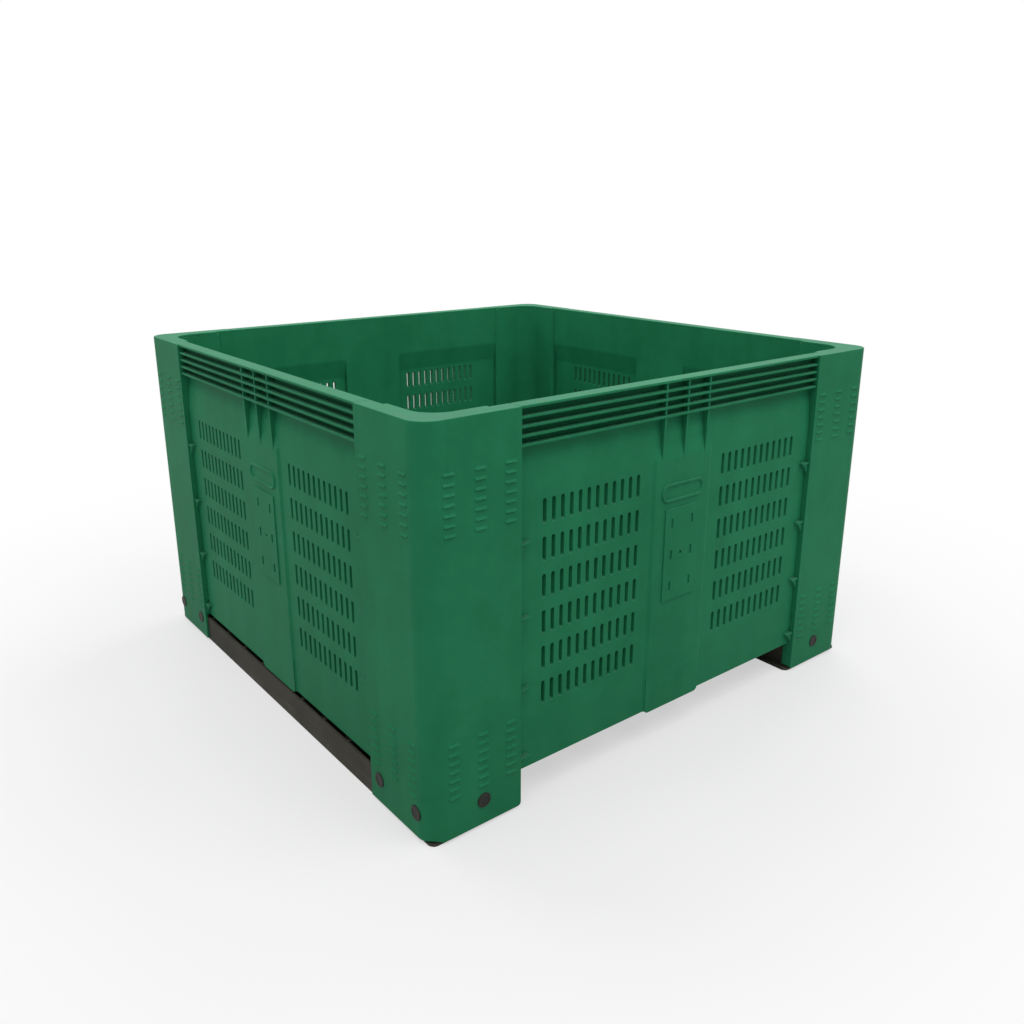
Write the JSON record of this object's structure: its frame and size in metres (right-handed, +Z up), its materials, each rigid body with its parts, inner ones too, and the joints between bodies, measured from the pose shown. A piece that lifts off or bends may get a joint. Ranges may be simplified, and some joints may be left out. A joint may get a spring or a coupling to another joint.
{
  "type": "fruit bin",
  "caption": "Square ventilated harvest bin: slotted side panels between hollow corner posts, a ribbed drain floor and two pinned skids for fork entry.",
  "frame": {"origin": "centre of the footprint, on the ground under the skids", "axes": "+Z up, the skids run along Y, forks enter along Y from the front (-Y) or the back (+Y), +X to the right seen from the front"},
  "size_m": [1.205, 1.205, 0.741],
  "materials": {
    "bin_green": "moulded polyethylene, satin, lightly scuffed",
    "skid_black": "moulded recycled plastic, matte, scuffed",
    "pin_black": "moulded plastic, matte"
  },
  "bodies": {
    "root": {"side_panel_front": "bin_green", "side_panel_right": "bin_green", "side_panel_back": "bin_green", "side_panel_left": "bin_green", "corner_post_front_left": "bin_green", "corner_post_front_right": "bin_green", "corner_post_back_left": "bin_green", "corner_post_back_right": "bin_green", "corner_liner_front_left": "bin_green", "corner_liner_front_right": "bin_green", "corner_liner_back_left": "bin_green", "corner_liner_back_right": "bin_green", "floor_deck": "bin_green", "skid_left": "skid_black", "skid_right": "skid_black", "side_pins_front_left": "pin_black", "side_pins_front_right": "pin_black", "side_pins_back_left": "pin_black", "side_pins_back_right": "pin_black", "end_pin_front_left": "pin_black", "end_pin_front_right": "pin_black", "end_pin_back_left": "pin_black", "end_pin_back_right": "pin_black"}
  },
  "joints": []
}
